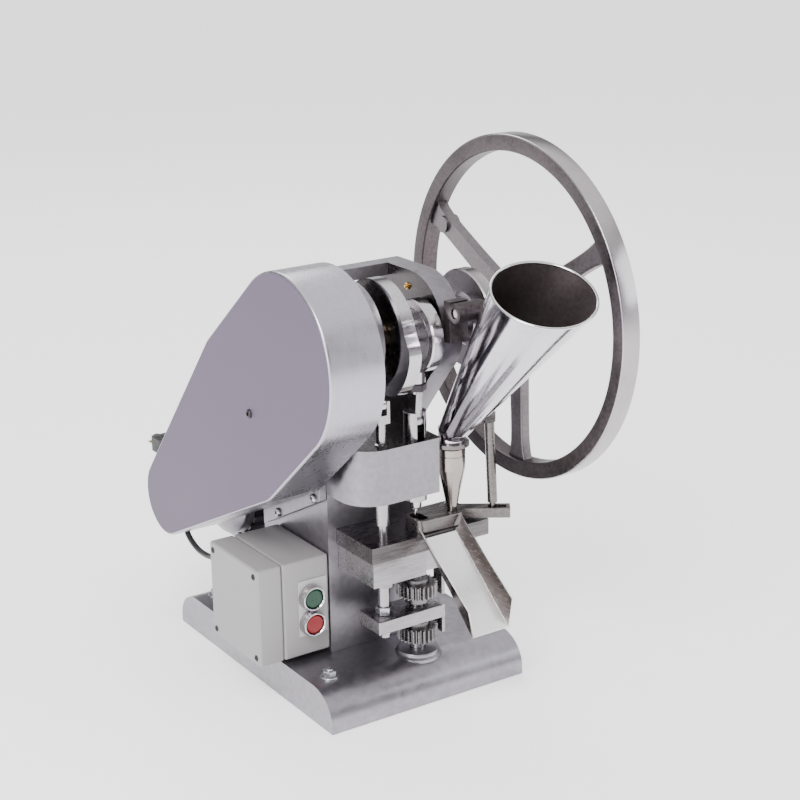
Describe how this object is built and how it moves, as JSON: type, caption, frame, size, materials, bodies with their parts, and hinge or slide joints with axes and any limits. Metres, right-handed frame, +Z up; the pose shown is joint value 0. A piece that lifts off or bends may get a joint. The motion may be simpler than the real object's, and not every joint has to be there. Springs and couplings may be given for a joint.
{
  "type": "tablet press",
  "caption": "Bench single-punch tablet press: eccentric shaft in a cast yoke, handwheel, belt guard, leaning hopper on a swinging feeder, die table, chute, push-button box and cord.",
  "frame": {"origin": "on the bench, under the middle of the machine's box without its cord", "axes": "+X towards the handwheel along the main shaft, -Y towards the operator and the chute, +Z up"},
  "size_m": [0.312, 0.626, 0.5765],
  "materials": {
    "silver_paint": "silver machine enamel over a casting",
    "guard_paint": "satin silver-grey paint on sheet steel",
    "ground_steel": "ground and machined steel",
    "polished_steel": "polished hardened steel",
    "dark_steel": "oil-darkened steel",
    "stainless": "brushed stainless sheet",
    "cast_iron": "grey iron with a machined rim",
    "bronze": "bearing bronze",
    "box_plastic": "light grey moulded plastic",
    "green_plastic": "green button cap",
    "red_plastic": "red button cap",
    "black_rubber": "black rubber and soft plastic",
    "motor_paint": "dark grey motor enamel"
  },
  "bodies": {
    "machine": {"base_casting": "silver_paint", "frame_casting": "silver_paint", "left_bush": "bronze", "right_bush": "bronze", "die_table": "ground_steel", "table_holder": "ground_steel", "die": "polished_steel", "gear_lock_upper": "ground_steel", "feeder_pivot_screw": "polished_steel", "rocker_bracket": "silver_paint", "rocker_pin": "ground_steel", "hopper": "stainless", "hopper_bracket": "ground_steel", "chute": "stainless", "belt_guard": "guard_paint", "guard_bracket": "silver_paint", "drive_belt": "black_rubber", "motor_body": "motor_paint", "motor_end_bell": "silver_paint", "motor_bracket": "silver_paint", "terminal_box": "motor_paint", "control_box": "box_plastic", "control_box_lid": "box_plastic", "button_plate": "box_plastic", "start_bezel": "polished_steel", "stop_bezel": "polished_steel", "cord_gland": "black_rubber", "power_cord": "black_rubber", "cord_coil": "black_rubber", "power_lead": "black_rubber", "power_plug": "black_rubber"},
    "main_shaft": {"main_shaft": "ground_steel", "ejection_cam": "polished_steel", "eccentric_sheave": "ground_steel", "feed_cam": "dark_steel", "drive_pulley": "cast_iron", "handwheel": "cast_iron"},
    "strap": {"eccentric_strap": "polished_steel", "connecting_rod": "ground_steel", "connecting_lock_nut": "dark_steel", "wrist_pin": "polished_steel"},
    "ram": {"upper_ram": "ground_steel", "upper_punch": "polished_steel"},
    "lift": {"lift_rod": "ground_steel", "lift_roller": "polished_steel", "lift_plate": "ground_steel", "lift_nut_upper": "dark_steel", "lift_nut_lower": "dark_steel", "lower_punch": "ground_steel", "gear_lock_lower": "ground_steel"},
    "upper_gear": {"adjusting_gear_upper": "ground_steel"},
    "lower_gear": {"adjusting_gear_lower": "ground_steel"},
    "feeder": {"feeder_boot": "dark_steel", "feeder_neck": "stainless"},
    "rocker": {"feed_rocker": "cast_iron", "rocker_roller": "polished_steel", "rocker_rod": "ground_steel"},
    "motor_rotor": {"motor_pulley": "cast_iron"},
    "start_button": {"start_button": "green_plastic"},
    "stop_button": {"stop_button": "red_plastic"}
  },
  "joints": [
    {"name": "main_shaft_spin", "type": "hinge", "parent": "machine", "child": "main_shaft", "pos_m": [0, -0.118, 0.396], "axis": [1, 0, 0], "continuous": true},
    {"name": "strap_swing", "type": "hinge", "parent": "main_shaft", "child": "strap", "pos_m": [0.008, -0.126, 0.39], "axis": [1, 0, 0], "continuous": true},
    {"name": "motor_spin", "type": "hinge", "parent": "machine", "child": "motor_rotor", "pos_m": [-0.117, 0.162, 0.16], "axis": [1, 0, 0], "continuous": true},
    {"name": "ram_slide", "type": "slide", "parent": "machine", "child": "ram", "axis": [0, 0, 1], "range_m": [-0.004, 0.016]},
    {"name": "lift_slide", "type": "slide", "parent": "machine", "child": "lift", "axis": [0, 0, 1], "range_m": [0, 0.0085]},
    {"name": "upper_gear_turn", "type": "hinge", "parent": "lift", "child": "upper_gear", "pos_m": [0.008, -0.118, 0.113], "axis": [0, 0, 1], "range_deg": [-360, 360]},
    {"name": "lower_gear_turn", "type": "hinge", "parent": "lift", "child": "lower_gear", "pos_m": [0.008, -0.118, 0.064], "axis": [0, 0, 1], "range_deg": [-360, 360]},
    {"name": "rocker_swing", "type": "hinge", "parent": "machine", "child": "rocker", "pos_m": [0.089, -0.172, 0.42], "axis": [1, 0, 0], "range_deg": [-3.5, 0]},
    {"name": "feeder_swing", "type": "hinge", "parent": "machine", "child": "feeder", "pos_m": [0.051, -0.116, 0.188], "axis": [0, 0, 1], "range_deg": [-12, 0]},
    {"name": "start_push", "type": "slide", "parent": "machine", "child": "start_button", "axis": [0, 1, 0], "range_m": [0, 0.004], "stiffness_N_per_m": 300, "springref_m": -0.001},
    {"name": "stop_push", "type": "slide", "parent": "machine", "child": "stop_button", "axis": [0, 1, 0], "range_m": [0, 0.004], "stiffness_N_per_m": 300, "springref_m": -0.001}
  ],
  "couplings": [
    {"joint": "strap_swing", "follows": "main_shaft_spin", "ratio": -1},
    {"joint": "motor_spin", "follows": "main_shaft_spin", "ratio": 3.33},
    {"joint": "feeder_swing", "follows": "rocker_swing", "ratio": 3.4}
  ]
}
